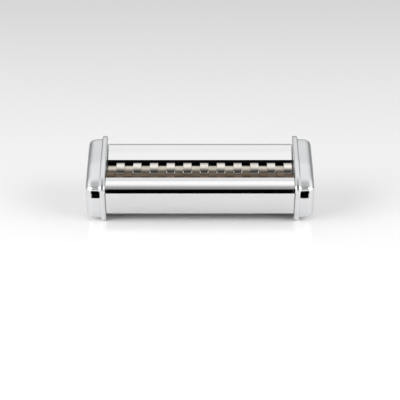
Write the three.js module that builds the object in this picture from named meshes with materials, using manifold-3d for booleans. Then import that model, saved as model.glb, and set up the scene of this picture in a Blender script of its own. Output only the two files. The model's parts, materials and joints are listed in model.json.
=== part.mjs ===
// Strip cutter for a hand-cranked pasta machine: two interleaved ring rollers in a sheet-metal body
// between two moulded end covers. A dough sheet goes in at the top and ribbons come out at the bottom.
// Millimetres. +X runs along the rollers, the front is -Y, +Z is up, and the feet stand on Z = 0.

import * as THREE from 'three';
import { mergeVertices } from 'three/addons/utils/BufferGeometryUtils.js';
import Module from 'manifold-3d';

const wasm = await Module();
wasm.setup();

// ---- Driving dimensions -------------------------------------------------------------------------

const GAP = 0.3; // left between pieces that touch on the real object
const OVERRUN = 1; // how far a cut, or a solid that is joined on, runs past the face it crosses

// Side outline of the end covers' flanges: [y, z, corner radius], anticlockwise seen from +X.
const FLANGE_CORNERS = [
  [-18, 0, 3],
  [18.5, 0, 3],
  [32.5, 29.5, 7],
  [32.5, 56.4, 5.9],
  [-6, 45.3, 60],
  [-24.5, 38.3, 25],
  [-33.8, 31, 5.7],
];
const CORNER_STEPS = 4;
const SMALLEST_CORNER = 0.6;

const COVER_INNER_X = 72.2; // the flanges' inner faces
const COVER_OUTER_X = 87.2; // the flat end faces
const FLANGE_THICKNESS = 4;
const FLANGE_EDGE = 0.6;
const BODY_INSET = 2.4; // the cover's body stands this far inside its flange
const BODY_EDGE = 5; // radius round the end face
const BODY_EDGE_STEPS = 4;
const COVER_WALL = 1.6;
const CAVITY_STEP = { x: 82.6, inset: 6.2 }; // the hollow narrows here, inside the rounded edge
const NOSE_SLOT = { x: 79.7, width: 6.6, low: 21.3, high: 27.6, front: -36, back: -24 };

const PLATE_INNER_X = COVER_INNER_X + GAP;
const PLATE_THICKNESS = 2;
const PLATE_OUTER_X = PLATE_INNER_X + PLATE_THICKNESS;
const STACK_X = PLATE_OUTER_X + GAP; // first thing outside a side plate starts here

const STRIP_WIDTH = 6.5;
const STRIP_COUNT = 22;
const ROLLER_HALF = (STRIP_WIDTH * STRIP_COUNT) / 2;
const RING_RADIUS = 10.5;
const RING_WIDTH = 6.3;
const GROOVE_RADIUS = 8.6;
const ROLLER_Z = 26.9;
const MIDDLE_Y = 0.75; // the nip lies between the rollers here
const ROLLER_SPACING = 19.5; // between the two axes
const FRONT_Y = MIDDLE_Y - ROLLER_SPACING / 2;
const REAR_Y = MIDDLE_Y + ROLLER_SPACING / 2;
const JOURNAL_RADIUS = 4;

const BUSH = { bore: 4.15, body: 5.5, flange: 6.8, thickness: 1.2 };
const WASHER = { bore: 4.3, rim: 7, thickness: 0.5 };
const CLIP = { bore: 3.5, rim: 6, thickness: 0.8, groove: 3.2, tail: 1.4 }; // shafts run a tail past them

const GEAR_TEETH = 15;
const GEAR_MODULE = ROLLER_SPACING / GEAR_TEETH;
const GEAR_WIDTH = 5;
const GEAR_BACKLASH = 0.24;
const ADDENDUM = 0.97; // tooth height above and below the pitch circle, in modules
const DEDENDUM = 1.25;
const PRESSURE_ANGLE = THREE.MathUtils.degToRad(20);
const FLANK_STEPS = 3;

const SOCKET = { radius: 5.6, flats: 7, web: 1, length: 10.3, shaftReach: 2.7 };
const CRANK_HOLE_RADIUS = 6.4;

const SHEET = 1.2; // sheet-metal thickness
const SHEET_HALF = COVER_INNER_X - GAP; // the sheets reach from cover to cover
const BEND_STEPS = 3;
const PANEL_FOOT_Z = 6.5;

// Outer faces of the bent sheets: [y, z] at a cut edge, [y, z, radius] at a bend.
const REAR_CHUTE_PATH = [[26.5, 29.4], [31, 29.4, 1.8], [31, 48.4, 1.8], [15, 38.6]];
const FRONT_CHUTE_PATH = [[-18.2, 33.9], [-18.5, 36.4, 1.4], [-27.5, 34.2, 5], [-30.2, 30.2]];
const FRONT_PANEL_PATH = [[-30.7, 26.4], [-19.2, PANEL_FOOT_Z, 1.4], [-14.5, PANEL_FOOT_Z]];
const REAR_PANEL_PATH = [[15.5, PANEL_FOOT_Z], [19.8, PANEL_FOOT_Z, 1.4], [30.7, 27.6]];

const ROD_RADIUS = 2.5;
const ROD_PLACES = {
  front_low: [MIDDLE_Y - 14.25, 12],
  rear_low: [MIDDLE_Y + 14.25, 12],
  front_top: [-22.6, 30.2],
  rear_top: [25.3, 33.5],
};
const ROD_SCREW = { hole: 1.8, shank: 1.5, head: 2.6, headHeight: 1.8, reach: 8 };

const COVER_SCREW_PLACES = { low: [MIDDLE_Y, 11.5], top: [21, 41] };
const COVER_SCREW = { hole: 1.5, shank: 1.2, head: 2.6, headHeight: 1, recess: 1.6 };
const POST_RADIUS = 3.6;

const CURL = { inner: 2.8, outer: 3.8, endGap: 1 }; // the combs wrap the low tie rods
const FINGER = { thickness: 1, width: 5.2, clearance: 0.45, spine: 2.5, length: 10.5, overlap: 0.66 };

// Sides round screws, round small turned pieces and round the rollers and their bearings.
const SMALL = 8;
const COARSE = 12;
const FINE = 20;

// ---- Materials ----------------------------------------------------------------------------------

function metal(color, roughness) {
  return () => new THREE.MeshStandardMaterial({ color, roughness, metalness: 1 });
}

const satinChrome = metal(0xdfe2e2, 0.24);
const brightChrome = metal(0xeef0f0, 0.08);
const cutterSteel = metal(0xd9d2c6, 0.3);
const zincSteel = metal(0xb9bcbd, 0.42);
const gearSteel = metal(0x8f9193, 0.45);
const bronze = metal(0xa8814a, 0.4);
const nylon = () => new THREE.MeshStandardMaterial({ color: 0xf0eee6, roughness: 0.6, metalness: 0 });

// ---- Outlines in the (y, z) plane ---------------------------------------------------------------

function cornerFrame(previous, corner, next) {
  const point = new THREE.Vector2(corner[0], corner[1]);
  const back = new THREE.Vector2(previous[0], previous[1]).sub(point).normalize();
  const ahead = new THREE.Vector2(next[0], next[1]).sub(point).normalize();
  const halfAngle = Math.acos(back.dot(ahead)) / 2;
  const inward = back.clone().add(ahead).normalize();
  return { point, back, ahead, halfAngle, inward };
}

// Points of the arc that rounds one corner.
function cornerArc(previous, corner, next, radius, steps) {
  const { point, back, ahead, halfAngle, inward } = cornerFrame(previous, corner, next);
  const reach = radius / Math.tan(halfAngle);
  const centre = point.clone().addScaledVector(inward, radius / Math.sin(halfAngle));
  const from = point.clone().addScaledVector(back, reach).sub(centre);
  const to = point.clone().addScaledVector(ahead, reach).sub(centre);
  const sweep = Math.atan2(from.cross(to), from.dot(to));
  return Array.from({ length: steps + 1 }, (_, step) =>
    from.clone().rotateAround(new THREE.Vector2(), (sweep * step) / steps).add(centre));
}

function roundedOutline(corners) {
  const last = corners.length - 1;
  return corners.flatMap((corner, i) =>
    cornerArc(corners.at(i - 1), corner, corners[i === last ? 0 : i + 1], corner[2], CORNER_STEPS));
}

// The same convex outline moved inwards by a distance, its corner radii shrinking with it.
function insetCorners(corners, distance) {
  const last = corners.length - 1;
  return corners.map((corner, i) => {
    const next = corners[i === last ? 0 : i + 1];
    const { point, halfAngle, inward } = cornerFrame(corners.at(i - 1), corner, next);
    point.addScaledVector(inward, distance / Math.sin(halfAngle));
    return [point.x, point.y, Math.max(corner[2] - distance, SMALLEST_CORNER)];
  });
}

function flangeInset(distance) {
  return roundedOutline(insetCorners(FLANGE_CORNERS, distance));
}

function circle(y, z, radius, segments) {
  return Array.from({ length: segments }, (_, i) => {
    const angle = (2 * Math.PI * i) / segments;
    return new THREE.Vector2(y + radius * Math.cos(angle), z + radius * Math.sin(angle));
  });
}

// Outline of a bent sheet: its outer face follows the path, and its thickness lies to the left.
function bentSheet(path) {
  const outer = path.flatMap((point, i) => {
    const isEnd = i === 0 || i === path.length - 1;
    return isEnd
      ? [new THREE.Vector2(point[0], point[1])]
      : cornerArc(path[i - 1], point, path[i + 1], point[2], BEND_STEPS);
  });
  const inner = outer.map((point, i) => {
    const before = point.clone().sub(outer[Math.max(i - 1, 0)]).normalize();
    const after = outer[Math.min(i + 1, outer.length - 1)].clone().sub(point).normalize();
    const along = before.add(after).normalize();
    return new THREE.Vector2(-along.y, along.x).multiplyScalar(SHEET).add(point);
  });
  return outer.concat(inner.reverse());
}

// ---- Solids -------------------------------------------------------------------------------------

// An outline in the (y, z) plane, extruded along X.
function slab(outline, fromX, toX, holes = []) {
  const shape = new THREE.Shape(outline);
  holes.forEach((hole) => shape.holes.push(new THREE.Path(hole)));
  const geometry = new THREE.ExtrudeGeometry(shape, { depth: toX - fromX, steps: 1, bevelEnabled: false });
  const yzxToXyz = new THREE.Matrix4().makeBasis(
    new THREE.Vector3(0, 1, 0), new THREE.Vector3(0, 0, 1), new THREE.Vector3(1, 0, 0));
  return geometry.applyMatrix4(yzxToXyz).translate(fromX, 0, 0);
}

// A skin over a row of outlines, each at its own x and all with as many points; both ends are closed.
function loft(sections) {
  const count = sections[0].outline.length;
  const lastRing = (sections.length - 1) * count;
  const positions = sections.flatMap(({ x, outline }) => outline.flatMap((point) => [x, point.x, point.y]));
  const index = [];
  for (let start = 0; start < lastRing; start += count) {
    for (let i = 0; i < count; i += 1) {
      const a = start + i;
      const b = start + ((i + 1) % count);
      index.push(a, b, b + count, a, b + count, a + count);
    }
  }
  THREE.ShapeUtils.triangulateShape(sections[0].outline, [])
    .forEach(([a, b, c]) => index.push(a, c, b));
  THREE.ShapeUtils.triangulateShape(sections.at(-1).outline, [])
    .forEach((face) => index.push(...face.map((corner) => corner + lastRing)));
  const geometry = new THREE.BufferGeometry();
  geometry.setAttribute('position', new THREE.Float32BufferAttribute(positions, 3));
  geometry.setIndex(index);
  return geometry;
}

// A profile of [x, radius] points turned about the line y, z; it closes on the axis or on itself.
function turned(profile, y, z, segments) {
  const points = profile.map(([x, radius]) => new THREE.Vector2(radius, x));
  return new THREE.LatheGeometry(points, segments).rotateZ(-Math.PI / 2).translate(0, y, z);
}

function ring(fromX, toX, bore, rim, y, z, segments) {
  return turned([[fromX, bore], [fromX, rim], [toX, rim], [toX, bore], [fromX, bore]], y, z, segments);
}

function rod(fromX, toX, radius, y, z, segments) {
  return turned([[fromX, 0], [fromX, radius], [toX, radius], [toX, 0]], y, z, segments);
}

function box(centre, size) {
  return new THREE.BoxGeometry(...size).translate(...centre);
}

function toManifold(geometry) {
  const bare = geometry.clone();
  bare.deleteAttribute('normal');
  bare.deleteAttribute('uv');
  const merged = mergeVertices(bare, 1e-4);
  const index = Array.from(merged.index.array);
  const triVerts = [];
  for (let i = 0; i < index.length; i += 3) {
    const corners = index.slice(i, i + 3);
    if (new Set(corners).size === 3) triVerts.push(...corners);
  }
  const mesh = new wasm.Mesh({
    numProp: 3,
    vertProperties: new Float32Array(merged.attributes.position.array),
    triVerts: new Uint32Array(triVerts),
  });
  return new wasm.Manifold(mesh);
}

function toGeometry(manifold) {
  const { vertProperties, triVerts } = manifold.getMesh();
  const geometry = new THREE.BufferGeometry();
  geometry.setAttribute('position', new THREE.BufferAttribute(new Float32Array(vertProperties), 3));
  geometry.setIndex(Array.from(triVerts));
  return geometry;
}

function joined(geometries) {
  return geometries.map(toManifold).reduce((whole, next) => whole.add(next));
}

function cut(manifold, geometries) {
  return geometries.map(toManifold).reduce((rest, tool) => rest.subtract(tool), manifold);
}

// Built for the right-hand end and mirrored for the left one, so that faces still point outwards.
function mirrored(geometry) {
  const copy = (geometry.index ? geometry.toNonIndexed() : geometry.clone()).scale(-1, 1, 1);
  const position = copy.attributes.position;
  const flipped = new Float32Array(position.array);
  for (let i = 0; i < flipped.length; i += 9) {
    flipped.copyWithin(i + 3, i + 6, i + 9);
    flipped.set(position.array.subarray(i + 3, i + 6), i + 6);
  }
  const result = new THREE.BufferGeometry();
  result.setAttribute('position', new THREE.BufferAttribute(flipped, 3));
  return result;
}

function part(parent, name, geometry, material) {
  const mesh = new THREE.Mesh(geometry, material());
  mesh.name = name;
  parent.add(mesh);
}

// ---- End covers and side plates -----------------------------------------------------------------

// A moulded cup with a proud flange, open towards the rollers; its nose has a slot that hangs on the
// machine's bracket, and the right-hand cover has a hole for the crank.
function endCover(hasCrankHole) {
  const flangeOuterX = COVER_INNER_X + FLANGE_THICKNESS;
  const cavityEndX = COVER_OUTER_X - COVER_WALL;
  const recessX = COVER_OUTER_X - COVER_SCREW.recess;
  const flange = loft([
    { x: COVER_INNER_X, outline: flangeInset(FLANGE_EDGE) },
    { x: COVER_INNER_X + FLANGE_EDGE, outline: flangeInset(0) },
    { x: flangeOuterX - FLANGE_EDGE, outline: flangeInset(0) },
    { x: flangeOuterX, outline: flangeInset(FLANGE_EDGE) },
  ]);
  const bodySections = [{ x: COVER_INNER_X + OVERRUN, outline: flangeInset(BODY_INSET) }];
  for (let step = 0; step <= BODY_EDGE_STEPS; step += 1) {
    const angle = (Math.PI / 2) * (step / BODY_EDGE_STEPS);
    bodySections.push({
      x: COVER_OUTER_X - BODY_EDGE * (1 - Math.sin(angle)),
      outline: flangeInset(BODY_INSET + BODY_EDGE * (1 - Math.cos(angle))),
    });
  }
  const body = loft(bodySections);
  const cavity = [
    slab(flangeInset(BODY_INSET + COVER_WALL), COVER_INNER_X - OVERRUN, CAVITY_STEP.x),
    slab(flangeInset(CAVITY_STEP.inset), CAVITY_STEP.x - OVERRUN, cavityEndX),
  ];
  const places = Object.values(COVER_SCREW_PLACES);
  const posts = places.map(([y, z]) => rod(STACK_X, recessX, POST_RADIUS, y, z, COARSE));
  const holes = places.flatMap(([y, z]) => [
    rod(COVER_INNER_X, COVER_OUTER_X + OVERRUN, COVER_SCREW.hole, y, z, SMALL),
    rod(recessX, COVER_OUTER_X + OVERRUN, COVER_SCREW.head + GAP, y, z, COARSE),
  ]);
  const slot = box(
    [NOSE_SLOT.x, (NOSE_SLOT.back + NOSE_SLOT.front) / 2, (NOSE_SLOT.low + NOSE_SLOT.high) / 2],
    [NOSE_SLOT.width, NOSE_SLOT.back - NOSE_SLOT.front, NOSE_SLOT.high - NOSE_SLOT.low]);
  const crankHole = rod(
    cavityEndX - OVERRUN, COVER_OUTER_X + OVERRUN, CRANK_HOLE_RADIUS, FRONT_Y, ROLLER_Z, FINE);
  const shell = cut(joined([flange, body]), cavity);
  const withPosts = posts.map(toManifold).reduce((whole, post) => whole.add(post), shell);
  return toGeometry(cut(withPosts, hasCrankHole ? [...holes, slot, crankHole] : [...holes, slot]));
}

function sidePlate() {
  const bearingHoles = [FRONT_Y, REAR_Y].map((y) => circle(y, ROLLER_Z, BUSH.body + GAP, FINE));
  const rodHoles = Object.values(ROD_PLACES).map(([y, z]) => circle(y, z, ROD_SCREW.hole, SMALL));
  const coverHoles = Object.values(COVER_SCREW_PLACES).map(([y, z]) =>
    circle(y, z, COVER_SCREW.hole, SMALL));
  const outline = flangeInset(BODY_INSET + COVER_WALL + GAP);
  return slab(outline, PLATE_INNER_X, PLATE_OUTER_X, [...bearingHoles, ...rodHoles, ...coverHoles]);
}

function coverScrew([y, z]) {
  const seatX = COVER_OUTER_X - COVER_SCREW.recess + GAP;
  const headX = seatX + COVER_SCREW.headHeight;
  const tipX = PLATE_INNER_X + GAP;
  return turned([
    [tipX, 0], [tipX, COVER_SCREW.shank], [seatX, COVER_SCREW.shank],
    [seatX, COVER_SCREW.head], [headX, COVER_SCREW.head], [headX, 0],
  ], y, z, SMALL);
}

// ---- Sheet metal --------------------------------------------------------------------------------

function sheetAcross(path) {
  return slab(bentSheet(path), -SHEET_HALF, SHEET_HALF);
}

// ---- Tie rods and combs -------------------------------------------------------------------------

// A plain bar with a tapped blind hole in each end.
function tieRod([y, z]) {
  const endX = PLATE_INNER_X - GAP;
  const holeX = endX - ROD_SCREW.reach;
  return turned([
    [-holeX, 0], [-holeX, ROD_SCREW.hole], [-endX, ROD_SCREW.hole], [-endX, ROD_RADIUS],
    [endX, ROD_RADIUS], [endX, ROD_SCREW.hole], [holeX, ROD_SCREW.hole], [holeX, 0],
  ], y, z, COARSE);
}

function rodScrew([y, z]) {
  const tipX = PLATE_INNER_X - ROD_SCREW.reach;
  return turned([
    [tipX, 0], [tipX, ROD_SCREW.shank], [STACK_X, ROD_SCREW.shank], [STACK_X, ROD_SCREW.head],
    [STACK_X + ROD_SCREW.headHeight, ROD_SCREW.head], [STACK_X + ROD_SCREW.headHeight, 0],
  ], y, z, SMALL);
}

function columnX(column) {
  return -ROLLER_HALF + STRIP_WIDTH * (column + 0.5);
}

// Comb for the roller on one side: a spine curled round the low tie rod, and a finger in each groove
// that reaches just under the groove's floor and lifts the strips off.
function comb(side, firstColumn) {
  const [rodY, rodZ] = side < 0 ? ROD_PLACES.front_low : ROD_PLACES.rear_low;
  const rise = new THREE.Vector2(ROLLER_SPACING / 2 - Math.abs(rodY - MIDDLE_Y), ROLLER_Z - rodZ);
  rise.x = -rise.x;
  const wrapRadius = (CURL.inner + CURL.outer) / 2;
  const lineOffset = GROOVE_RADIUS + FINGER.clearance + FINGER.thickness / 2;
  const lean = Math.acos((wrapRadius + lineOffset) / rise.length());
  const slope = rise.angle() + lean - Math.PI / 2;
  const bladeFrom = (start, end, width, x) =>
    new THREE.BoxGeometry(width, end - start, FINGER.thickness)
      .translate(0, (start + end) / 2, wrapRadius)
      .rotateX(slope)
      .translate(x, 0, 0);
  const spineHalf = SHEET_HALF - CURL.endGap;
  const curl = ring(-spineHalf, spineHalf, CURL.inner, CURL.outer, 0, 0, COARSE);
  const blades = [bladeFrom(-FINGER.overlap, FINGER.spine, 2 * spineHalf, 0)];
  for (let column = firstColumn; column < STRIP_COUNT; column += 2) {
    blades.push(bladeFrom(FINGER.spine - FINGER.overlap, FINGER.length, FINGER.width, columnX(column)));
  }
  const geometry = toGeometry(cut(joined([curl, ...blades]), [
    rod(-spineHalf - OVERRUN, spineHalf + OVERRUN, CURL.inner, 0, 0, COARSE),
  ]));
  const facing = side < 0 ? geometry : mirrored(geometry).rotateZ(Math.PI);
  return facing.translate(0, rodY, rodZ);
}

// ---- Cutting rollers, gears and bearings --------------------------------------------------------

// Solid bar turned into rings and grooves; the other roller's rings run in these grooves.
function cutterRoller(firstRing, leftEndX, rightEndX, clipXs, y) {
  const profile = [];
  for (let column = firstRing; column < STRIP_COUNT; column += 2) {
    const x = columnX(column);
    profile.push([x - RING_WIDTH / 2, GROOVE_RADIUS], [x - RING_WIDTH / 2, RING_RADIUS]);
    profile.push([x + RING_WIDTH / 2, RING_RADIUS], [x + RING_WIDTH / 2, GROOVE_RADIUS]);
  }
  const clipGroove = (x) => {
    const half = CLIP.thickness / 2 + GAP / 2;
    const floor = [[x - half, CLIP.groove], [x + half, CLIP.groove]];
    return [[x - half, JOURNAL_RADIUS], ...floor, [x + half, JOURNAL_RADIUS]];
  };
  const leftClips = clipXs.filter((x) => x < 0).flatMap(clipGroove);
  const rightClips = clipXs.filter((x) => x > 0).flatMap(clipGroove);
  return turned([
    [leftEndX, 0], [leftEndX, JOURNAL_RADIUS], ...leftClips, [-ROLLER_HALF, JOURNAL_RADIUS],
    [-ROLLER_HALF, GROOVE_RADIUS], ...profile, [ROLLER_HALF, GROOVE_RADIUS],
    [ROLLER_HALF, JOURNAL_RADIUS], ...rightClips, [rightEndX, JOURNAL_RADIUS], [rightEndX, 0],
  ], y, ROLLER_Z, FINE);
}

// Involute spur gear with a tooth pointing along +Y, so that two of them mesh side by side.
function gear(fromX, toX, y) {
  const pitchRadius = (GEAR_MODULE * GEAR_TEETH) / 2;
  const baseRadius = pitchRadius * Math.cos(PRESSURE_ANGLE);
  const tipRadius = pitchRadius + GEAR_MODULE * ADDENDUM;
  const rootRadius = pitchRadius - GEAR_MODULE * DEDENDUM;
  const involute = (radius) => {
    const angle = Math.acos(Math.min(baseRadius / radius, 1));
    return Math.tan(angle) - angle;
  };
  const pitchHalfAngle = Math.PI / (2 * GEAR_TEETH) - GEAR_BACKLASH / (2 * pitchRadius);
  const halfAngleAt = (radius) => pitchHalfAngle + involute(pitchRadius) - involute(radius);
  const flank = [[rootRadius, halfAngleAt(baseRadius)]];
  for (let step = 0; step <= FLANK_STEPS; step += 1) {
    const radius = THREE.MathUtils.lerp(baseRadius, tipRadius, step / FLANK_STEPS);
    flank.push([radius, halfAngleAt(radius)]);
  }
  const tooth = [...flank.map(([r, a]) => [r, -a]), ...flank.toReversed()];
  const outline = [];
  for (let i = 0; i < GEAR_TEETH; i += 1) {
    const centre = (2 * Math.PI * i) / GEAR_TEETH;
    tooth.forEach(([r, a]) => {
      outline.push(new THREE.Vector2(y + r * Math.cos(centre + a), ROLLER_Z + r * Math.sin(centre + a)));
    });
  }
  return slab(outline, fromX, toX, [circle(y, ROLLER_Z, JOURNAL_RADIUS + GAP, FINE)]);
}

// Hub on the front roller's shaft: round bore inside, hexagonal socket for the crank outside.
function crankSocket(fromX, y) {
  const toX = fromX + SOCKET.length;
  const boreEndX = fromX + SOCKET.shaftReach + GAP;
  const hexRadius = SOCKET.flats / 2 / Math.cos(Math.PI / 6);
  const hub = toManifold(rod(fromX, toX, SOCKET.radius, y, ROLLER_Z, FINE));
  return toGeometry(cut(hub, [
    rod(fromX - OVERRUN, boreEndX, JOURNAL_RADIUS + GAP, y, ROLLER_Z, FINE),
    slab(circle(y, ROLLER_Z, hexRadius, 6), boreEndX + SOCKET.web, toX + OVERRUN),
  ]));
}

function bush(y) {
  const outerX = STACK_X + BUSH.thickness;
  return turned([
    [PLATE_INNER_X, BUSH.bore], [PLATE_INNER_X, BUSH.body], [STACK_X, BUSH.body], [STACK_X, BUSH.flange],
    [outerX, BUSH.flange], [outerX, BUSH.bore], [PLATE_INNER_X, BUSH.bore],
  ], y, ROLLER_Z, FINE);
}

function clip(x, y) {
  return ring(x - CLIP.thickness / 2, x + CLIP.thickness / 2, CLIP.bore, CLIP.rim, y, ROLLER_Z, COARSE);
}

// ---- Assembly -----------------------------------------------------------------------------------

const group = new THREE.Group();
const housing = new THREE.Group();
const frontRoller = new THREE.Group();
const rearRoller = new THREE.Group();
group.add(housing, frontRoller, rearRoller);

part(housing, 'left_end_cover', mirrored(endCover(false)), satinChrome);
part(housing, 'right_end_cover', endCover(true), satinChrome);
part(housing, 'left_side_plate', mirrored(sidePlate()), zincSteel);
part(housing, 'right_side_plate', sidePlate(), zincSteel);
// The rear chute rolls over into the back wall, and the front one into a lip above the front panel.
part(housing, 'rear_chute_plate', sheetAcross(REAR_CHUTE_PATH), brightChrome);
part(housing, 'front_chute_plate', sheetAcross(FRONT_CHUTE_PATH), brightChrome);
part(housing, 'front_panel', sheetAcross(FRONT_PANEL_PATH), brightChrome);
part(housing, 'rear_panel', sheetAcross(REAR_PANEL_PATH), brightChrome);
part(housing, 'front_comb', comb(-1, 1), zincSteel);
part(housing, 'rear_comb', comb(1, 0), zincSteel);

for (const [place, at] of Object.entries(ROD_PLACES)) {
  part(housing, `tie_rod_${place}`, tieRod(at), zincSteel);
  part(housing, `rod_screw_${place}_left`, mirrored(rodScrew(at)), zincSteel);
  part(housing, `rod_screw_${place}_right`, rodScrew(at), zincSteel);
}
for (const [place, at] of Object.entries(COVER_SCREW_PLACES)) {
  part(housing, `cover_screw_${place}_left`, mirrored(coverScrew(at)), zincSteel);
  part(housing, `cover_screw_${place}_right`, coverScrew(at), zincSteel);
}

const gearStartX = STACK_X + BUSH.thickness + GAP;
const gearEndX = gearStartX + GEAR_WIDTH;
const gearClipX = gearEndX + GAP + CLIP.thickness / 2;
const endClipX = gearStartX + CLIP.thickness / 2;
const washerX = (ROLLER_HALF + PLATE_INNER_X - WASHER.thickness) / 2;

for (const [label, y, body] of [['front', FRONT_Y, frontRoller], ['rear', REAR_Y, rearRoller]]) {
  const washer = ring(washerX, washerX + WASHER.thickness, WASHER.bore, WASHER.rim, y, ROLLER_Z, FINE);
  part(housing, `${label}_bush_left`, mirrored(bush(y)), bronze);
  part(housing, `${label}_bush_right`, bush(y), bronze);
  part(housing, `${label}_washer_left`, mirrored(washer), nylon);
  part(housing, `${label}_washer_right`, washer, nylon);
  part(body, `${label}_gear`, gear(-gearEndX, -gearStartX, y), gearSteel);
  part(body, `${label}_gear_clip`, clip(-gearClipX, y), zincSteel);
}

const leftShaftX = -gearClipX - CLIP.tail;
const frontShaftX = gearStartX + SOCKET.shaftReach;
const rearShaftX = endClipX + CLIP.tail;

part(frontRoller, 'front_cutter_roller',
  cutterRoller(0, leftShaftX, frontShaftX, [-gearClipX], FRONT_Y), cutterSteel);
part(frontRoller, 'crank_socket', crankSocket(gearStartX, FRONT_Y), gearSteel);
part(rearRoller, 'rear_cutter_roller',
  cutterRoller(1, leftShaftX, rearShaftX, [-gearClipX, endClipX], REAR_Y), cutterSteel);
part(rearRoller, 'rear_end_clip', clip(endClipX, REAR_Y), zincSteel);

export default group;
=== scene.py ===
"""Strip-cutting roller attachment of a pasta machine: every visible piece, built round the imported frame.

Blender works in metres in the frame's own axes. The outlines below are in millimetres, and MM scales them
as they become meshes.
"""

import json
import math

import bmesh
import bpy
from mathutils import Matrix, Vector


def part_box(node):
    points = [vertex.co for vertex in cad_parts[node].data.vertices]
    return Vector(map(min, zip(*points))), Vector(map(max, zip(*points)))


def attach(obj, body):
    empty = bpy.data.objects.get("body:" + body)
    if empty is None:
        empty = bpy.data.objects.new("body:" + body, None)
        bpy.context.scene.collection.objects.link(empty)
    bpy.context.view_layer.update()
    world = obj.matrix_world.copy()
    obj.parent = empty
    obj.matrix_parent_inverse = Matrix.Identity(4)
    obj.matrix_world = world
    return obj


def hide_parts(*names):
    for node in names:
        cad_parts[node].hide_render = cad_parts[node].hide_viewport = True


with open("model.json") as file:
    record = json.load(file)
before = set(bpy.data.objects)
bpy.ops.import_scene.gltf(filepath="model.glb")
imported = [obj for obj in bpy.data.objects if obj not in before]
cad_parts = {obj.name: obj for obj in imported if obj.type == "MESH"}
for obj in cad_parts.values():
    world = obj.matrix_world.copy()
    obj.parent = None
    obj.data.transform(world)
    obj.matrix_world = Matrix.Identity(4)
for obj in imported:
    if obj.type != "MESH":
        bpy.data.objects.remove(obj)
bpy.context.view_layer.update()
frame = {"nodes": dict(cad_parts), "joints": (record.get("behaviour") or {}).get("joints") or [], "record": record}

MM = 0.001
MICRON = 0.000001

# ---- Driving dimensions, in millimetres ---------------------------------------------------------

# Side outline of the end covers' flanges: (y, z, corner radius).
FLANGE_CORNERS = [
    (-18, 0, 3), (18.5, 0, 3), (32.5, 29.5, 7), (32.5, 56.4, 6.4), (-6, 45.3, 60), (-24.5, 38.3, 25),
    (-33.8, 31, 5.9),
]
FLANGE_THICKNESS = 4
FLANGE_ROUND = 1.1
FLANGE_FILLET = 0.7
# The body stands in from the flange's edge, narrows by its taper and ends in its round.
BODY_INSET = 2.4
BODY_TAPER = 0.3
BODY_ROUND = 6
COVER_WALL = 1.6
# The cavity behind the body, and the narrower end of it that starts at the step.
CAVITY_INSET = BODY_INSET + COVER_WALL
CAVITY_STEP_X = 82.6
CAVITY_STEP_INSET = 6.2
CAVITY_MOUTH_CHAMFER = 0.2

# The slot in the nose of each cover, which hangs on the machine's bracket.
SLOT_X = 79.7
SLOT_WIDTH = 6.6
SLOT_LOW = 21.6
SLOT_HIGH = 28.7
SLOT_CORNER = 1.1
# From the end of the slot's cut to the roller behind it.
SLOT_TO_ROLLER = 4

SHEET_THICKNESS = 1.2
SHEET_EDGE = 0.14
# Outer faces of the bent sheets: (y, z) at a cut edge, (y, z, radius) at a bend.
REAR_CHUTE_PATH = [
    (26.5, 29.4), (31, 29.4, 1.8), (31, 46.95, 1), (27.6, 46.5, 0.6), (21.6, 42.55, 100), (15, 38.6),
]
FRONT_CHUTE_PATH = [(-18.2, 33.9), (-18.5, 36.4, 1.4), (-27.8, 34.13, 14), (-31.5, 30.85)]
FRONT_PANEL_PATH = [(-31.2, 27.25), (-19.2, 6.5, 1.4), (-14.5, 6.5)]
REAR_PANEL_PATH = [(15.5, 6.5), (19.8, 6.5, 1.4), (30.7, 27.6)]

STRIP_WIDTH = 6.5
STRIP_COUNT = 22
RING_WIDTH = 6.3
RING_EDGE = 0.1
GROOVE_RADIUS = 8.6
GROOVE_FILLET = 0.12
JOURNAL_RADIUS = 4
JOURNAL_CHAMFER = 0.4

# The hub on the front roller that takes the crank, and its hole in the right-hand cover.
SOCKET_FLATS = 7
SOCKET_DEPTH = 6.3
SOCKET_MOUTH_DEPTH = 0.5
SOCKET_MOUTH_FLARE = 2.2
SOCKET_BORE = 4.3
SOCKET_BORE_DEPTH = 3
HUB_CHAMFER = 0.6
CRANK_HOLE_DEPTH = 6
CRANK_HOLE_CLEARANCE = 0.8
CRANK_HOLE_CHAMFER = 0.5

SCREW_RECESS_CLEARANCE = 0.3
SCREW_RECESS_DEPTH = 1.4
SCREW_RECESS_CHAMFER = 0.25

BUSH_BORE = 4.25
BUSH_BODY = 5.5
BUSH_FLANGE_THICKNESS = 1.2
WASHER_BORE = 4.3
CLIP_BORE = 3.5
CLIP_GAP_DEGREES = 70
FLAT_RING_EDGE = 0.1
ROD_HOLE = 1.8
ROD_HOLE_DEPTH = 7.5
ROD_SCREW_SHANK = 1.5
ROD_SCREW_HEAD_HEIGHT = 1.8
COVER_SCREW_SHANK = 1.2
COVER_SCREW_HEAD_HEIGHT = 1
COVER_SCREW_RIM_HEIGHT = 0.3
# The screw head's dome, as (depth under its top, share of its radius), and the flat on top of it.
COVER_SCREW_DOME = [(0.42, 0.93), (0.2, 0.76), (0.06, 0.5)]
COVER_SCREW_FLAT = 0.2
# The blades of the cross recess, as (height over the head's top, half length, half width).
CROSS_BLADE = [(-0.8, 0.5, 0.2), (0.5, 1.7, 0.42)]
# How far the edges of turned pieces, and of the nodes shown as the CAD has them, are broken.
EASE = 0.25
CAD_NODE_EDGE = 0.12

# ---- What meshing needs, in millimetres and degrees ---------------------------------------------

SMALLEST_CORNER = 0.6
# The radius that stands for a point on a turned piece's axis, and the step that keeps two points apart.
LEAST_RADIUS = 0.001
LEAST_STEP = 0.01
MERGE_WITHIN = 0.0001
# How far a cutter starts outside the face that it cuts.
CUT_PAST = 1
SLOT_CUT_PAST = 5
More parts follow.
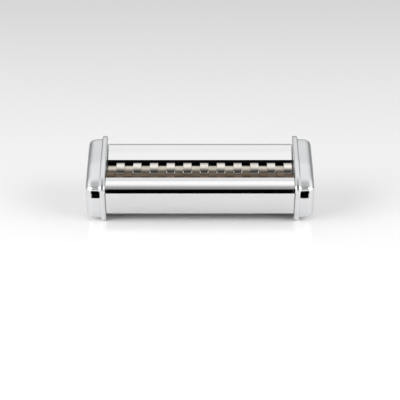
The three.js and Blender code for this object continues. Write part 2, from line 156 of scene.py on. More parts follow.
# How far off the cavity's outline and ends a face of its wall can lie.
CAVITY_SLACK = 0.1
BEND_STEPS = 10
QUARTER_STEPS = 6
BODY_ROUND_STEPS = 12
BODY_WALL_STEPS = 8
SHEET_STATIONS = 24
BEVEL_SEGMENTS = 2
BEVEL_ABOVE = 40
SMOOTH_BELOW = 32
# The rollers' edges stay sharp down to a smaller angle, so that each rim shades as a straight cylinder.
ROLLER_SMOOTH_BELOW = 15
# A roller's face is a ring's side, painted dark as shade, where its normal has more of x than this, and a cover's
# face can be the cavity's wall, painted black as shade, where its normal has less of x than that.
RING_SIDE_NORMAL = 0.7
CAVITY_WALL_NORMAL = 0.9


def box_mm(node):
    """Lowest and highest corner of a CAD node, in millimetres."""
    low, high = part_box(node)
    return low / MM, high / MM


def span_of(node):
    """Nearest and farthest x of a node from the middle, its outer radius, and its centre."""
    low, high = box_mm(node)
    near, far = sorted((abs(low.x), abs(high.x)))
    return near, far, (high.z - low.z) / 2, (low + high) / 2


COVER_LOW, COVER_HIGH = box_mm("right_end_cover")
FRONT_AXIS, REAR_AXIS = (
    Vector(joint["pos_m"]) / MM
    for joint in sorted(frame["joints"], key=lambda joint: joint["pos_m"][1])
)
RING_RADIUS = span_of("front_cutter_roller")[2]
# Distances from a roller's axis where the painted shade in its grooves is full, and where it has faded out.
GROOVE_SHADE_FULL = GROOVE_RADIUS + 0.4
GROOVE_SHADE_GONE = RING_RADIUS - 0.2

# ---- Outlines in the (y, z) plane ---------------------------------------------------------------


def corner_frame(before, corner, after):
    """The corner, the unit directions to its neighbours, half its inner angle and its inward direction."""
    point = Vector(corner[:2])
    back = (Vector(before[:2]) - point).normalized()
    ahead = (Vector(after[:2]) - point).normalized()
    half_angle = math.acos(max(-1, min(1, back.dot(ahead)))) / 2
    return point, back, ahead, half_angle, (back + ahead).normalized()


def corner_arc(before, corner, after, radius, steps):
    """The points of the arc that rounds one corner."""
    point, back, ahead, half_angle, inward = corner_frame(before, corner, after)
    reach = radius / math.tan(half_angle)
    centre = point + inward * radius / math.sin(half_angle)
    start = point + back * reach - centre
    end = point + ahead * reach - centre
    sweep = math.atan2(start.x * end.y - start.y * end.x, start.dot(end))
    points = []
    for step in range(steps + 1):
        turn = sweep * step / steps
        cos, sin = math.cos(turn), math.sin(turn)
        points.append(centre + Vector((start.x * cos - start.y * sin, start.x * sin + start.y * cos)))
    return points


def inset_corners(corners, distance):
    """The same convex outline moved inwards, its corner radii shrinking with it."""
    moved = []
    for i, corner in enumerate(corners):
        following = corners[(i + 1) % len(corners)]
        point, _, _, half_angle, inward = corner_frame(corners[i - 1], corner, following)
        point += inward * distance / math.sin(half_angle)
        moved.append((point.x, point.y, max(corner[2] - distance, SMALLEST_CORNER)))
    return moved


def rounded(corners, steps=10, side_steps=8):
    """A closed outline with round corners and extra points along its straight sides."""
    arcs = [
        corner_arc(corners[i - 1], corner, corners[(i + 1) % len(corners)], corner[2], steps)
        for i, corner in enumerate(corners)
    ]
    points = []
    for i, arc in enumerate(arcs):
        following = arcs[(i + 1) % len(arcs)]
        points += arc
        points += [arc[-1].lerp(following[0], k / side_steps) for k in range(1, side_steps)]
    return points


def flange_inset(distance):
    """The flange's outline moved inwards, with its corners rounded."""
    return rounded(inset_corners(FLANGE_CORNERS, distance))


def bent_sheet(path):
    """The closed section of a bent sheet: its outer face follows the path, its thickness lies to the left."""
    outer = [Vector(path[0][:2])]
    for before, bend, after in zip(path, path[1:], path[2:]):
        outer += corner_arc(before, bend, after, bend[2], BEND_STEPS)
    outer.append(Vector(path[-1][:2]))
    inner = []
    for i, point in enumerate(outer):
        before = (point - outer[max(i - 1, 0)]).normalized()
        after = (outer[min(i + 1, len(outer) - 1)] - point).normalized()
        along = (before + after).normalized()
        inner.append(point + Vector((-along.y, along.x)) * SHEET_THICKNESS)
    return outer + inner[::-1]


# ---- Meshes -------------------------------------------------------------------------------------


def make_object(name, points, faces, smooth_below=SMOOTH_BELOW):
    """A mesh object from points in millimetres, smooth except across sharp edges."""
    mesh = bpy.data.meshes.new(name)
    mesh.from_pydata([Vector(point) * MM for point in points], [], faces)
    return finish_mesh(name, mesh, smooth_below)


def finish_mesh(name, mesh, smooth_below=SMOOTH_BELOW):
    """An object of a mesh, with doubled points merged, faces turned outwards and shading set."""
    tidy = bmesh.new()
    tidy.from_mesh(mesh)
    bmesh.ops.remove_doubles(tidy, verts=tidy.verts, dist=MERGE_WITHIN * MM)
    bmesh.ops.recalc_face_normals(tidy, faces=tidy.faces)
    tidy.to_mesh(mesh)
    tidy.free()
    mesh.polygons.foreach_set("use_smooth", [True] * len(mesh.polygons))
    mesh.set_sharp_from_angle(angle=math.radians(smooth_below))
    piece = bpy.data.objects.new(name, mesh)
    bpy.context.scene.collection.objects.link(piece)
    return piece


def skin(sections, capped=True):
    """Points and faces over a row of rings of points, all with as many points as each other."""
    count = len(sections[0])
    points = [point for section in sections for point in section]
    faces = []
    for s in range(len(sections) - 1):
        for i in range(count):
            a, b = s * count + i, s * count + (i + 1) % count
            faces.append((a, b, b + count, a + count))
    if capped:
        faces.append(tuple(reversed(range(count))))
        faces.append(tuple(range(len(points) - count, len(points))))
    return points, faces


def at_x(x, outline):
    """An outline of (y, z) points, stood at x."""
    return [Vector((x, point.x, point.y)) for point in outline]


def about(axis, x, radius, turn):
    """The point at x and a radius from the line through axis, turned from +y towards +z."""
    return Vector((x, axis.y + radius * math.cos(turn), axis.z + radius * math.sin(turn)))


def lathe(profile, axis, segments):
    """Points and faces of a profile of (x, radius) turned about the line through axis, with closed ends."""
    turns = [2 * math.pi * k / segments for k in range(segments)]
    rings = [[about(axis, x, max(radius, LEAST_RADIUS), turn) for turn in turns] for x, radius in profile]
    return skin(rings)


def revolve(profile, axis, segments, gap_degrees=0):
    """Points and faces of a closed profile of (x, radius) turned about the line through axis, less a gap."""
    start = math.radians(gap_degrees) / 2
    steps = segments + 1 if gap_degrees else segments
    turns = [start + (2 * math.pi - 2 * start) * k / segments for k in range(steps)]
    sections = [[about(axis, x, radius, turn) for x, radius in profile] for turn in turns]
    if gap_degrees:
        return skin(sections)
    return skin(sections + sections[:1], capped=False)


def subtract(piece, cutters):
    """The same piece on a fresh mesh with the cutters taken out of it; the cutters are used up."""
    for cutter in cutters:
        modifier = piece.modifiers.new("cut", "BOOLEAN")
        modifier.operation = "DIFFERENCE"
        modifier.solver = "EXACT"
        modifier.object = cutter
    name = piece.name
    depsgraph = bpy.context.evaluated_depsgraph_get()
    mesh = bpy.data.meshes.new_from_object(piece.evaluated_get(depsgraph))
    for used in (piece, *cutters):
        bpy.data.objects.remove(used)
    return finish_mesh(name, mesh)


def bevel(piece, width_mm):
    """Breaks a piece's sharp edges."""
    modifier = piece.modifiers.new("edges", "BEVEL")
    modifier.width = width_mm * MM
    modifier.segments = BEVEL_SEGMENTS
    modifier.limit_method = "ANGLE"
    modifier.angle_limit = math.radians(BEVEL_ABOVE)
    modifier.harden_normals = True
    return piece


def mirrored(piece, name):
    """The left-hand piece made from a right-hand one, which is used up."""
    mesh = piece.data.copy()
    for vertex in mesh.vertices:
        vertex.co.x = -vertex.co.x
    bpy.data.objects.remove(piece)
    return finish_mesh(name, mesh)


# ---- Materials ----------------------------------------------------------------------------------

# Noise textures seldom leave this range, so it is what colours and roughness are spread over.
NOISE_LOW = 0.3
NOISE_HIGH = 0.7
SHADE_BLACK_LEVEL = 0.01
# The darker patches of a matt steel, as a share of its colour.
PATCH_LEVEL = 0.86


def shader_of(material):
    return material.node_tree.nodes["Principled BSDF"]


def new_material(name, metallic):
    """A bare material; its colour, roughness and bumps are added by the functions below."""
    material = bpy.data.materials.new(name)
    material.use_nodes = True
    shader_of(material).inputs["Metallic"].default_value = metallic
    return material


def noise(material, scale, stretch=(1, 1, 1), detail=4):
    """A noise texture in the object's own space, its grain stretched where stretch is small."""
    nodes, links = material.node_tree.nodes, material.node_tree.links
    where = nodes.new("ShaderNodeTexCoord")
    mapping = nodes.new("ShaderNodeMapping")
    mapping.inputs["Scale"].default_value = stretch
    texture = nodes.new("ShaderNodeTexNoise")
    texture.inputs["Scale"].default_value = scale
    texture.inputs["Detail"].default_value = detail
    links.new(where.outputs["Object"], mapping.inputs["Vector"])
    links.new(mapping.outputs["Vector"], texture.inputs["Vector"])
    return texture.outputs["Fac"]


def spread(material, source, low, high, from_low=NOISE_LOW, from_high=NOISE_HIGH):
    """A value mapped from one range to another."""
    nodes, links = material.node_tree.nodes, material.node_tree.links
    span = nodes.new("ShaderNodeMapRange")
    span.inputs["From Min"].default_value = from_low
    span.inputs["From Max"].default_value = from_high
    span.inputs["To Min"].default_value = low
    span.inputs["To Max"].default_value = high
    links.new(source, span.inputs["Value"])
    return span.outputs["Result"]


def vary_roughness(material, source, low, high):
    material.node_tree.links.new(spread(material, source, low, high), shader_of(material).inputs["Roughness"])


def vary_color(material, source, dark, light):
    nodes, links = material.node_tree.nodes, material.node_tree.links
    ramp = nodes.new("ShaderNodeValToRGB")
    for stop, position, color in zip(ramp.color_ramp.elements, (NOISE_LOW, NOISE_HIGH), (dark, light)):
        stop.position = position
        stop.color = (*color, 1)
    links.new(source, ramp.inputs["Fac"])
    links.new(ramp.outputs["Color"], shader_of(material).inputs["Base Color"])


def add_bump(material, *layers):
    """Bumps from layers of (source, height in microns), one on top of the other."""
    nodes, links = material.node_tree.nodes, material.node_tree.links
    previous = None
    for source, height in layers:
        bump = nodes.new("ShaderNodeBump")
        bump.inputs["Strength"].default_value = 1
        bump.inputs["Distance"].default_value = height * MICRON
        links.new(source, bump.inputs["Height"])
        if previous:
            links.new(previous, bump.inputs["Normal"])
        previous = bump.outputs["Normal"]
    links.new(previous, shader_of(material).inputs["Normal"])


def satin_chrome():
    """Satin plating on a moulded cover: soft shine, a faint orange peel and handling smudges."""
    material = new_material("satin_chrome", 1)
    vary_roughness(material, noise(material, 60), 0.26, 0.35)
    vary_color(material, noise(material, 25), (0.67, 0.68, 0.69), (0.73, 0.74, 0.745))
    add_bump(material, (noise(material, 900, detail=1), 1.2), (noise(material, 110, detail=1), 6))
    return material


def bright_chrome(name, dark, light):
    """Mirror plating on rolled sheet: the rolling leaves a fine grain along its length."""
    material = new_material(name, 1)
    grain = noise(material, 500, (0.02, 1, 1))
    vary_roughness(material, grain, 0.06, 0.13)
    vary_color(material, noise(material, 12, (0.3, 1, 1)), dark, light)
    add_bump(material, (grain, 0.6), (noise(material, 25, (0.25, 1, 1), detail=1), 20))
    return material


def paint_groove_shade(material, axis, tint):
    """Paints shade into a roller's grooves and on the feet of its rings by tinting the base colour, fading out up
    the rings.
    """
    nodes, links = material.node_tree.nodes, material.node_tree.links
    color = shader_of(material).inputs["Base Color"]
    where = nodes.new("ShaderNodeTexCoord")
    centred = nodes.new("ShaderNodeVectorMath")
    centred.operation = "SUBTRACT"
    centred.inputs[1].default_value = axis * MM
    across = nodes.new("ShaderNodeVectorMath")
    across.operation = "MULTIPLY"
    across.inputs[1].default_value = (0, 1, 1)
    distance = nodes.new("ShaderNodeVectorMath")
    distance.operation = "LENGTH"
    links.new(where.outputs["Object"], centred.inputs[0])
    links.new(centred.outputs["Vector"], across.inputs[0])
    links.new(across.outputs["Vector"], distance.inputs[0])
    full_at, gone_at = GROOVE_SHADE_FULL * MM, GROOVE_SHADE_GONE * MM
    mix = nodes.new("ShaderNodeMix")
    mix.data_type = "RGBA"
    mix.blend_type = "MULTIPLY"
    mix.inputs["B"].default_value = (*tint, 1)
    links.new(spread(material, distance.outputs["Value"], 1, 0, full_at, gone_at), mix.inputs["Factor"])
    links.new(color.links[0].from_socket, mix.inputs["A"])
    links.new(mix.outputs["Result"], color)


def turned_steel(name, axis, dark, light, groove_shade):
    """Ground cutter steel, scored along the roller, its grooves darkened by painted shade."""
    material = new_material(name, 1)
    vary_roughness(material, noise(material, 220, (0.2, 1, 1)), 0.08, 0.15)
    vary_color(material, noise(material, 300, (0.3, 1, 1)), dark, light)
    # Painted shade: the grooves and the rings' feet are tinted darker.
    paint_groove_shade(material, axis, groove_shade)
    add_bump(material, (noise(material, 1400, (0.03, 1, 1), detail=3), 20))
    return material


def matt_steel(name, color, low, high):
    """Plated, oiled or blackened steel: matt patches over a fine grain."""
    material = new_material(name, 1)
    vary_roughness(material, noise(material, 150), low, high)
    vary_color(material, noise(material, 80), tuple(channel * PATCH_LEVEL for channel in color), color)
    add_bump(material, (noise(material, 1500, detail=3), 6))
    return material


def sintered_bronze():
    material = new_material("sintered_bronze", 1)
    pores = noise(material, 2500, detail=2)
    vary_roughness(material, pores, 0.35, 0.55)
    vary_color(material, noise(material, 400), (0.42, 0.28, 0.14), (0.60, 0.42, 0.22))
    add_bump(material, (pores, 20))
    return material


def plain_nylon():
    material = new_material("nylon", 0)
    vary_roughness(material, noise(material, 300), 0.42, 0.6)
    vary_color(material, noise(material, 90), (0.80, 0.78, 0.71), (0.88, 0.86, 0.80))
    add_bump(material, (noise(material, 1200), 10))
    return material


def painted_shade_black(name):
    """A dull black surface: painted shade on the insides of covers and sheets."""
    material = new_material(name, 0)
    shader_of(material).inputs["Specular IOR Level"].default_value = 0.12
    vary_roughness(material, noise(material, 200), 0.5, 0.75)
    vary_color(material, noise(material, 60), (SHADE_BLACK_LEVEL * 0.8,) * 3, (SHADE_BLACK_LEVEL * 1.2,) * 3)
    add_bump(material, (noise(material, 900), 10))
    return material


SATIN = satin_chrome()
CHUTE = bright_chrome("chute_chrome", (0.845, 0.845, 0.85), (0.885, 0.885, 0.885))
# The panels' chrome is the chutes' plating made darker: painted shade.
PANEL_CHROME_PAINTED_SHADE = bright_chrome("panel_chrome_painted_shade", (0.72, 0.725, 0.735), (0.76, 0.765, 0.77))
SHEET_INSIDE_PAINTED_SHADE = painted_shade_black("sheet_inside_painted_shade")
COVER_INSIDE_PAINTED_SHADE = painted_shade_black("cover_inside_painted_shade")
# The front roller's steel is the rear roller's steel made far darker: painted shade.
FRONT_CUTTER_PAINTED_SHADE = turned_steel(
    "front_cutter_steel_painted_shade", FRONT_AXIS, (0.085, 0.062, 0.043), (0.165, 0.13, 0.098), (0.95, 0.85, 0.75),
)
REAR_CUTTER = turned_steel(
    "rear_cutter_steel", REAR_AXIS, (0.66, 0.62, 0.56), (0.88, 0.85, 0.8), (0.72, 0.69, 0.63),
)
# Near-black steel on the rings' sides: painted shade.
RING_SIDE_PAINTED_SHADE = matt_steel("ring_side_painted_shade", (0.075, 0.055, 0.038), 0.4, 0.6)
ZINC = matt_steel("zinc_plate", (0.62, 0.63, 0.645), 0.3, 0.48)
SCREW = matt_steel("screw_plate", (0.66, 0.66, 0.67), 0.24, 0.4)
SOCKET = matt_steel("socket_steel", (0.33, 0.33, 0.335), 0.3, 0.5)
OILED = matt_steel("oiled_steel", (0.06, 0.06, 0.062), 0.35, 0.5)
BLACKENED = matt_steel("black_oxide", (0.025, 0.025, 0.026), 0.42, 0.58)
SPRING = matt_steel("spring_steel", (0.16, 0.16, 0.17), 0.3, 0.45)
BRONZE = sintered_bronze()
NYLON = plain_nylon()


def dress(piece, node, body, slot, *materials):
    """Gives a piece its materials, hides the node that it stands for and hangs the piece on the body that it rides
    on.
    """
    piece.data.materials.clear()
    for material in materials:
        piece.data.materials.append(material)
    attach(piece, body)
    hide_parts(node)


# ---- End covers ---------------------------------------------------------------------------------

CAVITY_CORNERS = inset_corners(FLANGE_CORNERS, CAVITY_INSET)


def cover_sections():
    """Rings from the cavity's floor out over the flange to the end face, for the right-hand cover."""
    inner_x, outer_x = COVER_LOW.x, COVER_HIGH.x
    flange_x = inner_x + FLANGE_THICKNESS
    rings = [
        (outer_x - COVER_WALL, CAVITY_STEP_INSET), (CAVITY_STEP_X, CAVITY_STEP_INSET),
        (CAVITY_STEP_X - LEAST_STEP, CAVITY_INSET), (inner_x + CAVITY_MOUTH_CHAMFER, CAVITY_INSET),
        (inner_x, CAVITY_INSET - CAVITY_MOUTH_CHAMFER),
    ]
    quarter = [
        (1 - math.cos(turn), 1 - math.sin(turn))
        for turn in (math.pi / 2 * k / QUARTER_STEPS for k in range(QUARTER_STEPS + 1))
    ]
    rings += [(inner_x + FLANGE_ROUND * along, FLANGE_ROUND * inwards) for along, inwards in quarter]
    rings += [(flange_x - FLANGE_ROUND * along, FLANGE_ROUND * inwards) for along, inwards in quarter[::-1]]
    rings += [
        (flange_x + FLANGE_FILLET * along, BODY_INSET - FLANGE_FILLET * inwards) for along, inwards in quarter
    ]
    wall_start, round_start = flange_x + FLANGE_FILLET, outer_x - BODY_ROUND
    for k in range(1, BODY_WALL_STEPS + 1):
        along = k / BODY_WALL_STEPS
        rings.append((wall_start + (round_start - wall_start) * along, BODY_INSET + BODY_TAPER * along))
    for k in range(1, BODY_ROUND_STEPS + 1):
        turn = math.pi / 2 * k / BODY_ROUND_STEPS
        inset = BODY_INSET + BODY_TAPER + (BODY_ROUND - BODY_TAPER) * (1 - math.cos(turn))
        rings.append((round_start + BODY_ROUND * math.sin(turn), inset))
    return [at_x(x, flange_inset(inset)) for x, inset in rings]


def slot_cutter():
    """The slot's outline in the (x, z) plane, pushed through the nose along y."""
    low_x, high_x = SLOT_X - SLOT_WIDTH / 2, SLOT_X + SLOT_WIDTH / 2
    corners = [
        (x, z, SLOT_CORNER)
        for x, z in ((low_x, SLOT_LOW), (high_x, SLOT_LOW), (high_x, SLOT_HIGH), (low_x, SLOT_HIGH))
    ]
    outline = rounded(corners, steps=6, side_steps=1)
    front, back = COVER_LOW.y - SLOT_CUT_PAST, FRONT_AXIS.y - RING_RADIUS - SLOT_TO_ROLLER
    return make_object("slot", *skin([[Vector((p.x, y, p.y)) for p in outline] for y in (front, back)]))


def end_face_cutter(name, start, radius, centre, chamfer):
    """A round hole through the right-hand end face from start, its mouth slightly opened."""
    end = COVER_HIGH.x + CUT_PAST
    profile = [(start, radius), (COVER_HIGH.x - chamfer, radius), (end, radius + chamfer + CUT_PAST)]
    return make_object(name, *lathe(profile, centre, segments=64))


def build_cover(name, with_crank_hole):
    """A right-hand end cover with its bracket slot, its screw recesses and, if asked, the crank's hole."""
    cover = make_object(name, *skin(cover_sections()))
    cutters = [slot_cutter()]
    for place in ("low", "top"):
        _, top, head, centre = span_of(f"cover_screw_{place}_right")
        start, radius = top - SCREW_RECESS_DEPTH, head + SCREW_RECESS_CLEARANCE
        cutters.append(end_face_cutter(f"recess_{place}", start, radius, centre, SCREW_RECESS_CHAMFER))
    if with_crank_hole:
        start = COVER_HIGH.x - CRANK_HOLE_DEPTH
        radius = span_of("crank_socket")[2] + CRANK_HOLE_CLEARANCE
        cutters.append(end_face_cutter("crank", start, radius, FRONT_AXIS, CRANK_HOLE_CHAMFER))
    return subtract(cover, cutters)


def within_cavity(y, z):
    """True where a point in the (y, z) plane lies inside the cavity's outline, or all but on it."""
    for i, corner in enumerate(CAVITY_CORNERS):
        following = CAVITY_CORNERS[(i + 1) % len(CAVITY_CORNERS)]
        side = Vector(following[:2]) - Vector(corner[:2])
        offset = Vector((y, z)) - Vector(corner[:2])
        if (side.x * offset.y - side.y * offset.x) / side.length < -CAVITY_SLACK:
            return False
    return True


def paint_cavity_shade(cover):
    """Paints the cavity's floor and walls black as shade; the plating keeps everything else."""
    middle_z = (COVER_LOW.z + COVER_HIGH.z) / 2
    floor_x = COVER_HIGH.x - COVER_WALL
    for face in cover.data.polygons:
        centre = face.center / MM
        from_middle = abs(centre.x)
        is_floor = face.normal.x * centre.x < 0 and from_middle > floor_x - COVER_WALL
        looks_inwards = face.normal.dot(Vector((0, -centre.y, middle_z - centre.z))) > 0
        is_wall = (
            COVER_LOW.x + CAVITY_SLACK < from_middle < floor_x + CAVITY_SLACK
            and abs(face.normal.x) < CAVITY_WALL_NORMAL
            and looks_inwards and within_cavity(centre.y, centre.z)
        )
        face.material_index = int(is_floor or is_wall)


def build_covers():
    right = build_cover("right_cover", True)
    left = mirrored(build_cover("cover", False), "left_cover")
    for side, cover in (("left", left), ("right", right)):
        dress(cover, f"{side}_end_cover", "housing", "cover_chrome", SATIN, COVER_INSIDE_PAINTED_SHADE)
        paint_cavity_shade(cover)


# ---- Sheet metal --------------------------------------------------------------------------------


def build_sheet(name, node, path, material):
    """A bent sheet along the throat, plated outside, painted black as shade on its inner face and its path's last
    edge.
    """
    low, high = box_mm(node)
    section = bent_sheet(path)
    stations = [low.x + (high.x - low.x) * k / SHEET_STATIONS for k in range(SHEET_STATIONS + 1)]
    sheet = bevel(make_object(name, *skin([at_x(x, section) for x in stations])), SHEET_EDGE)
    dress(sheet, node, "housing", "sheet_chrome", material, SHEET_INSIDE_PAINTED_SHADE)
    # Each ring of faces runs along the outer face, over the last edge, back along the inner face and over
    # the first edge. The two ends of the sheet come after the last ring.
    count = len(section)
    # Material index 1, on the inner face and the last edge, is the black of painted shade.
    for n, face in enumerate(sheet.data.polygons):
        is_end = n >= count * SHEET_STATIONS
        face.material_index = int(not is_end and count // 2 - 1 <= n % count < count - 1)


def build_sheets():
    build_sheet("chute_rear", "rear_chute_plate", REAR_CHUTE_PATH, CHUTE)
    build_sheet("chute_front", "front_chute_plate", FRONT_CHUTE_PATH, CHUTE)
    build_sheet("panel_front", "front_panel", FRONT_PANEL_PATH, PANEL_CHROME_PAINTED_SHADE)
    build_sheet("panel_rear", "rear_panel", REAR_PANEL_PATH, PANEL_CHROME_PAINTED_SHADE)


# ---- Rollers ------------------------------------------------------------------------------------


def ring_profile(middle):
    """One ring, its edges broken by a small round, between two small fillets."""
    half, bulge = RING_WIDTH / 2, RING_EDGE * 0.3
    rising = [
        (half, GROOVE_RADIUS + GROOVE_FILLET), (half, RING_RADIUS - RING_EDGE),
        (half - bulge, RING_RADIUS - bulge), (half - RING_EDGE, RING_RADIUS),
    ]
    return [(middle - x, r) for x, r in rising] + [(middle + x, r) for x, r in rising[::-1]]


def build_roller(name, node, body, axis, material, first_ring):
    """A cutting roller, ground on its rims and in its grooves, its rings' sides rough and painted dark as shade.
    """
    low, high = box_mm(node)
    half = STRIP_WIDTH * STRIP_COUNT / 2
    profile = [
        (low.x, 0), (low.x, JOURNAL_RADIUS - JOURNAL_CHAMFER), (low.x + JOURNAL_CHAMFER, JOURNAL_RADIUS),
        (-half, JOURNAL_RADIUS), (-half, GROOVE_RADIUS),
    ]
    for column in range(first_ring, STRIP_COUNT, 2):
        ring = ring_profile(STRIP_WIDTH * (column + 0.5) - half)
        profile.append((max(ring[0][0] - GROOVE_FILLET, LEAST_STEP - half), GROOVE_RADIUS))
        profile += ring
        profile.append((min(ring[-1][0] + GROOVE_FILLET, half - LEAST_STEP), GROOVE_RADIUS))
    profile += [
        (half, GROOVE_RADIUS), (half, JOURNAL_RADIUS), (high.x - JOURNAL_CHAMFER, JOURNAL_RADIUS),
        (high.x, JOURNAL_RADIUS - JOURNAL_CHAMFER), (high.x, 0),
    ]
    roller = make_object(name, *lathe(profile, axis, segments=120), ROLLER_SMOOTH_BELOW)
    dress(roller, node, body, "roller_steel", material, RING_SIDE_PAINTED_SHADE)
    for face in roller.data.polygons:
        face.material_index = int(abs(face.normal.x) > RING_SIDE_NORMAL)


def build_rollers():
    build_roller("cutter_front", "front_cutter_roller", "front_roller", FRONT_AXIS, FRONT_CUTTER_PAINTED_SHADE, 0)
    build_roller("cutter_rear", "rear_cutter_roller", "rear_roller", REAR_AXIS, REAR_CUTTER, 1)


# ---- Turned pieces ------------------------------------------------------------------------------


def end_piece(node, body, slot, material, points, faces, cutters=()):
    """A piece built for the right-hand end, mirrored where the node is on the left."""
    piece = make_object("built_" + node, points, faces)
    if cutters:
        piece = subtract(piece, cutters)
    if box_mm(node)[1].x < 0:
        piece = mirrored(piece, "left_" + node)
    dress(piece, node, body, slot, material)


def build_tie_rod(node):
    _, far, radius, centre = span_of(node)
    bottom = far - ROD_HOLE_DEPTH
    half = [(bottom, 0), (bottom, ROD_HOLE), (far, ROD_HOLE), (far, radius - EASE), (far - EASE, radius)]
    profile = [(-x, r) for x, r in half] + half[::-1]
    rod = make_object("built_" + node, *lathe(profile, centre, segments=48))
    dress(rod, node, "housing", "frame_zinc", BLACKENED)


def build_rod_screw(node):
    tip, top, head, centre = span_of(node)
    seat = top - ROD_SCREW_HEAD_HEIGHT
    profile = [
        (tip, 0), (tip, ROD_SCREW_SHANK - EASE), (tip + EASE, ROD_SCREW_SHANK), (seat, ROD_SCREW_SHANK),
        (seat, head - EASE / 2), (seat + EASE / 2, head), (top - 2 * EASE, head),
        (top - EASE, head - EASE / 2), (top, head - 3 * EASE), (top, 0),
    ]
    end_piece(node, "housing", "screw_zinc", SCREW, *lathe(profile, centre, segments=40))


def cross_recess(centre, top):
    """Two crossed, tapering blades sunk into a screw head."""
    blades = []
    for name, along_y in (("blade_y", True), ("blade_z", False)):
        sections = []
        for height, reach, half in CROSS_BLADE:
            across, up = (reach, half) if along_y else (half, reach)
            corners = ((-across, -up), (across, -up), (across, up), (-across, up))
            sections.append([Vector((top + height, centre.y + y, centre.z + z)) for y, z in corners])
        blades.append(make_object(name, *skin(sections)))
    return blades


def build_cover_screw(node):
    tip, top, head, centre = span_of(node)
    seat = top - COVER_SCREW_HEAD_HEIGHT
    profile = [
        (tip, 0), (tip, COVER_SCREW_SHANK - EASE), (tip + EASE, COVER_SCREW_SHANK), (seat, COVER_SCREW_SHANK),
        (seat, head - EASE / 2), (seat + EASE / 2, head), (seat + COVER_SCREW_RIM_HEIGHT, head),
    ]
    profile += [(top - depth, head * share) for depth, share in COVER_SCREW_DOME]
    profile += [(top, COVER_SCREW_FLAT), (top, 0)]
    turned = lathe(profile, centre, segments=56)
    end_piece(node, "housing", "screw_zinc", SCREW, *turned, cutters=cross_recess(centre, top))


def build_bush(node):
    near, far, flange, centre = span_of(node)
    shoulder = far - BUSH_FLANGE_THICKNESS
    profile = [
        (near, BUSH_BORE), (near, BUSH_BODY - EASE), (near + EASE, BUSH_BODY), (shoulder, BUSH_BODY),
        (shoulder, flange), (far - EASE, flange), (far, flange - EASE), (far, BUSH_BORE),
    ]
    end_piece(node, "housing", "bush_bronze", BRONZE, *revolve(profile, centre, segments=72))


def flat_ring(node, bore, segments, gap_degrees=0):
    """Points and faces of a flat ring in a node's place, its outer edges broken."""
    near, far, rim, centre = span_of(node)
    edge = FLAT_RING_EDGE
    profile = [
        (near, bore), (near, rim - edge), (near + edge, rim),
        (far - edge, rim), (far, rim - edge), (far, bore),
    ]
    return revolve(profile, centre, segments, gap_degrees)


def build_washer(node):
    end_piece(node, "housing", "washer_nylon", NYLON, *flat_ring(node, WASHER_BORE, segments=72))


def build_clip(node, body):
    ring = flat_ring(node, CLIP_BORE, segments=64, gap_degrees=CLIP_GAP_DEGREES)
    end_piece(node, body, "clip_steel", SPRING, *ring)


def build_crank_socket():
    """Hub with a hexagonal mouth for the crank, its edges chamfered."""
    node = "crank_socket"
    inner, outer, radius, _ = span_of(node)
    profile = [
        (inner, 0), (inner, radius - EASE), (inner + EASE, radius), (outer - HUB_CHAMFER, radius),
        (outer, radius - HUB_CHAMFER), (outer, 0),
    ]
    hub = make_object("hub", *lathe(profile, FRONT_AXIS, segments=72))
    hexagons = []
    for x, flats in (
        (outer - SOCKET_DEPTH, SOCKET_FLATS), (outer - SOCKET_MOUTH_DEPTH, SOCKET_FLATS),
        (outer + CUT_PAST, SOCKET_FLATS + SOCKET_MOUTH_FLARE),
    ):
        corner = flats / 2 / math.cos(math.pi / 6)
        hexagons.append([about(FRONT_AXIS, x, corner, k * math.pi / 3) for k in range(6)])
    bore = [(inner - CUT_PAST, SOCKET_BORE), (inner + SOCKET_BORE_DEPTH, SOCKET_BORE)]
    cutters = [
        make_object("hexagon", *skin(hexagons)), make_object("bore", *lathe(bore, FRONT_AXIS, segments=64)),
    ]
    dress(subtract(hub, cutters), node, "front_roller", "gear_steel", SOCKET)


def build_turned_pieces():
    for place in ("front_low", "rear_low", "front_top", "rear_top"):
        build_tie_rod(f"tie_rod_{place}")
        for end in ("left", "right"):
            build_rod_screw(f"rod_screw_{place}_{end}")
    for end in ("left", "right"):
        for place in ("low", "top"):
            build_cover_screw(f"cover_screw_{place}_{end}")
        for label in ("front", "rear"):
            build_bush(f"{label}_bush_{end}")
            build_washer(f"{label}_washer_{end}")
    build_clip("front_gear_clip", "front_roller")
    build_clip("rear_gear_clip", "rear_roller")
    build_clip("rear_end_clip", "rear_roller")
    build_crank_socket()


# ---- CAD nodes ----------------------------------------------------------------------------------

# The side plates, combs and gears are shown as the CAD has them; the pieces above stand for the other nodes.
SLOT_MATERIALS = {
    "frame_zinc": ZINC, "screw_zinc": SCREW, "gear_steel": OILED, "clip_steel": SPRING, "bush_bronze": BRONZE,
    "washer_nylon": NYLON, "cover_chrome": SATIN, "sheet_chrome": PANEL_CHROME_PAINTED_SHADE, "roller_steel": FRONT_CUTTER_PAINTED_SHADE,
}


def dress_nodes():
    for part in frame["record"]["subparts"]:
        node = frame["nodes"][part["node"]]
        node.data.materials.clear()
        node.data.materials.append(SLOT_MATERIALS[part["material_slot"]])
        bevel(node, CAD_NODE_EDGE)


# ---- Stage, in metres, and its camera in millimetres of lens and sensor -------------------------

FLOOR_HALF = 4

# Brightness of the sky by angle: 0 is level behind the object, 90 overhead and 180 level in front.
SKY = [
    (1, 0.2), (22, 0.2), (32, 0.4), (40, 0.72), (47, 0.70), (54, 0.93), (62, 0.97), (72, 0.92), (83, 0.83),
    (90, 0.62), (98, 0.39), (107, 0.19), (116, 0.06), (126, 0.05), (142, 0.13), (160, 0.15), (178, 0.19),
]
SKY_STRENGTH = 1.2

# Two large lights on either side, in front and above.
LIGHT_PLACE = Vector((1.5, -0.9, 0.8))
LIGHT_SIZE = (1.7, 1.4)
LEFT_WATTS = 38
RIGHT_WATTS = 33

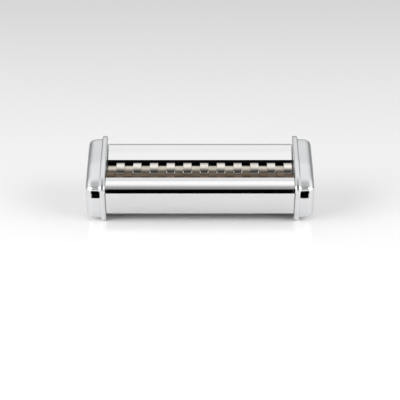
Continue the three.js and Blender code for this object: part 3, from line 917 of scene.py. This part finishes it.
CAMERA_DISTANCE = 1.3
CAMERA_ELEVATION = math.radians(20)
CAMERA_SENSOR = 36
CAMERA_LENS = 150.3
CAMERA_AIM = Vector((0, 0, 0.01075))


def build_floor():
    half = FLOOR_HALF
    corners = [(-half, -half, 0), (half, -half, 0), (half, half, 0), (-half, half, 0)]
    mesh = bpy.data.meshes.new("floor")
    mesh.from_pydata(corners, [], [(0, 1, 2, 3)])
    floor = bpy.data.objects.new("floor", mesh)
    bpy.context.scene.collection.objects.link(floor)
    material = new_material("pale_floor", 0)
    shader_of(material).inputs["Base Color"].default_value = (0.91, 0.9, 0.9, 1)
    vary_roughness(material, noise(material, 3), 0.11, 0.16)
    mesh.materials.append(material)


def area_light(name, place, watts):
    """A large soft light turned to the object."""
    light = bpy.data.lights.new(name, "AREA")
    light.shape = "RECTANGLE"
    light.size, light.size_y = LIGHT_SIZE
    light.energy = watts
    lamp = bpy.data.objects.new(name, light)
    lamp.location = place
    lamp.rotation_euler = (-place).to_track_quat("-Z", "Y").to_euler()
    bpy.context.scene.collection.objects.link(lamp)


def build_light():
    """A soft sky, bright from high behind to overhead, dim in front, the same all along the rollers."""
    world = bpy.data.worlds.new("studio")
    bpy.context.scene.world = world
    world.use_nodes = True
    nodes, links = world.node_tree.nodes, world.node_tree.links
    where = nodes.new("ShaderNodeTexCoord")
    split = nodes.new("ShaderNodeSeparateXYZ")
    links.new(where.outputs["Generated"], split.inputs["Vector"])
    tilt = nodes.new("ShaderNodeMath")
    tilt.operation = "ARCTAN2"
    links.new(split.outputs["Z"], tilt.inputs[0])
    links.new(split.outputs["Y"], tilt.inputs[1])
    turn = nodes.new("ShaderNodeMath")
    turn.operation = "DIVIDE"
    turn.inputs[1].default_value = math.pi
    links.new(tilt.outputs["Value"], turn.inputs[0])
    ramp = nodes.new("ShaderNodeValToRGB")
    ramp.color_ramp.interpolation = "EASE"
    stops = ramp.color_ramp.elements
    for degrees, level in SKY:
        stop = stops.new(degrees / 180)
        stop.color = (level, level, level, 1)
    stops.remove(stops[0])
    stops.remove(stops[-1])
    links.new(turn.outputs["Value"], ramp.inputs["Fac"])
    links.new(ramp.outputs["Color"], nodes["Background"].inputs["Color"])
    nodes["Background"].inputs["Strength"].default_value = SKY_STRENGTH
    area_light("left", Vector((-LIGHT_PLACE.x, LIGHT_PLACE.y, LIGHT_PLACE.z)), LEFT_WATTS)
    area_light("right", LIGHT_PLACE, RIGHT_WATTS)


def build_camera():
    data = bpy.data.cameras.new("camera")
    data.lens = CAMERA_LENS
    data.sensor_width = CAMERA_SENSOR
    data.dof.use_dof = False
    camera = bpy.data.objects.new("camera", data)
    back = Vector((0, -math.cos(CAMERA_ELEVATION), math.sin(CAMERA_ELEVATION)))
    camera.location = CAMERA_AIM + back * CAMERA_DISTANCE
    camera.rotation_euler = (-back).to_track_quat("-Z", "Y").to_euler()
    bpy.context.scene.collection.objects.link(camera)
    bpy.context.scene.camera = camera


dress_nodes()
build_covers()
build_sheets()
build_rollers()
build_turned_pieces()
build_floor()
build_light()
build_camera()
bpy.context.scene.view_settings.view_transform = "Standard"
